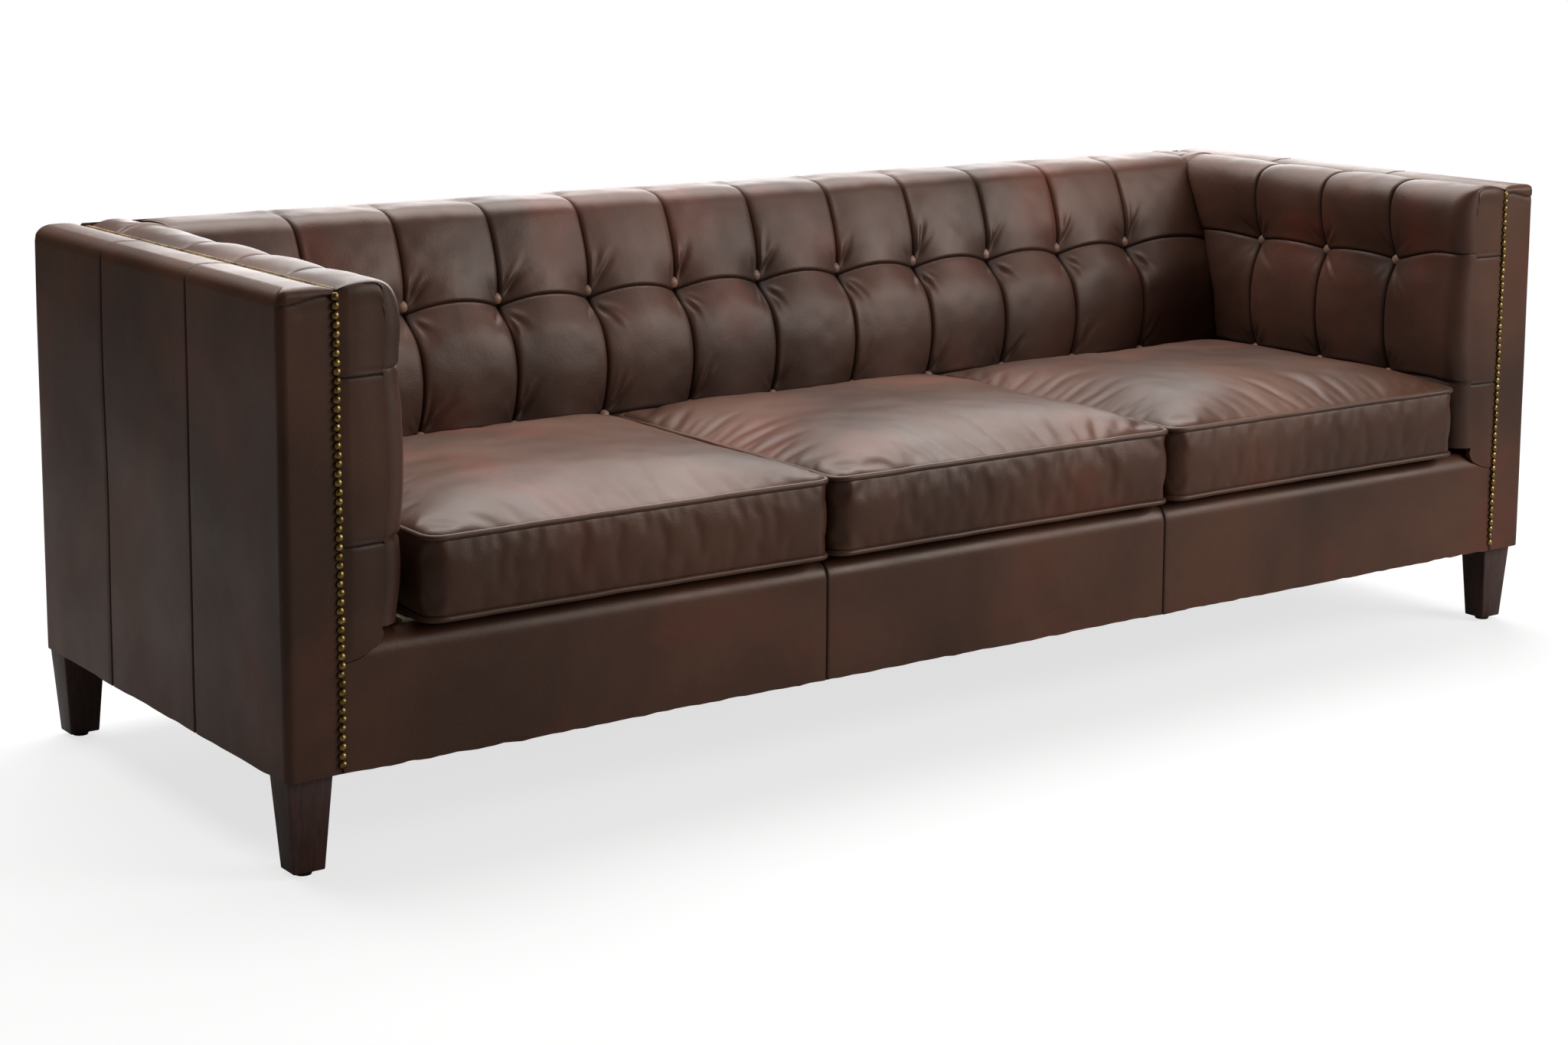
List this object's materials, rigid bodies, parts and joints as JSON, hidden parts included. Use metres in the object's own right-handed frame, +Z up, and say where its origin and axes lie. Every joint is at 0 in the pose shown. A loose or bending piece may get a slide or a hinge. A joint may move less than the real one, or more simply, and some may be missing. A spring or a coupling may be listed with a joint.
{
  "type": "chesterfield sofa",
  "caption": "Long tuxedo-style buttoned leather sofa with straight arms level with the back, loose seat cushions, nail-head trim and tapered wooden legs.",
  "frame": {"origin": "on the floor under the centre of the overall box", "axes": "+X along the sofa's length (to the right seen from the front), the front faces -Y, +Z up"},
  "size_m": [2.2, 0.7835, 0.7192],
  "materials": {
    "brown_leather": "satin",
    "piping_leather": "satin",
    "button_leather": "satin",
    "tan_edge_leather": "matte",
    "antique_brass": "satin",
    "leg_wood": "satin",
    "frame_wood": "matte",
    "foam": "matte",
    "webbing": "matte",
    "dust_cloth": "matte",
    "zinc_steel": "satin",
    "glide_plastic": "matte"
  },
  "bodies": {
    "root": {"back_buttons": "button_leather", "back_foam": "foam", "back_tack_rail": "frame_wood", "back_top_rail": "frame_wood", "back_uprights": "frame_wood", "back_webbing": "webbing", "corner_blocks": "frame_wood", "dust_cover": "dust_cloth", "front_rail_cover": "brown_leather", "front_seat_rail": "frame_wood", "left_arm_buttons": "button_leather", "left_arm_foam": "foam", "left_arm_front_facing": "brown_leather", "left_arm_tack_rail": "frame_wood", "left_arm_top_rail": "frame_wood", "left_arm_top_seam_strip": "tan_edge_leather", "left_front_post": "frame_wood", "left_nail_row": "antique_brass", "left_outer_arm_cover": "brown_leather", "left_rear_post": "frame_wood", "left_seat_side_rail": "frame_wood", "left_tufted_arm": "brown_leather", "leg_front_left": "leg_wood", "leg_front_right": "leg_wood", "leg_glides": "glide_plastic", "leg_hanger_bolts": "zinc_steel", "leg_rear_left": "leg_wood", "leg_rear_right": "leg_wood", "leg_tee_nuts": "zinc_steel", "outer_back_cover": "brown_leather", "rear_seat_rail": "frame_wood", "right_arm_buttons": "button_leather", "right_arm_foam": "foam", "right_arm_front_facing": "brown_leather", "right_arm_tack_rail": "frame_wood", "right_arm_top_rail": "frame_wood", "right_arm_top_seam_strip": "tan_edge_leather", "right_front_post": "frame_wood", "right_nail_row": "antique_brass", "right_outer_arm_cover": "brown_leather", "right_rear_post": "frame_wood", "right_seat_side_rail": "frame_wood", "right_tufted_arm": "brown_leather", "seat_cross_rails": "frame_wood", "seat_deck": "foam", "seat_webbing_crosswise": "webbing", "seat_webbing_lengthwise": "webbing", "tufted_back": "brown_leather"},
    "left_cushion": {"left_cushion_core": "foam", "left_cushion_cover": "brown_leather", "left_cushion_piping": "piping_leather"},
    "middle_cushion": {"middle_cushion_core": "foam", "middle_cushion_cover": "brown_leather", "middle_cushion_piping": "piping_leather"},
    "right_cushion": {"right_cushion_core": "foam", "right_cushion_cover": "brown_leather", "right_cushion_piping": "piping_leather"}
  },
  "joints": [
    {"name": "left_cushion_lift", "type": "slide", "parent": "root", "child": "left_cushion", "axis": [0, 0, 1], "range_m": [0, 0.45]},
    {"name": "middle_cushion_lift", "type": "slide", "parent": "root", "child": "middle_cushion", "axis": [0, 0, 1], "range_m": [0, 0.45]},
    {"name": "right_cushion_lift", "type": "slide", "parent": "root", "child": "right_cushion", "axis": [0, 0, 1], "range_m": [0, 0.45]}
  ]
}
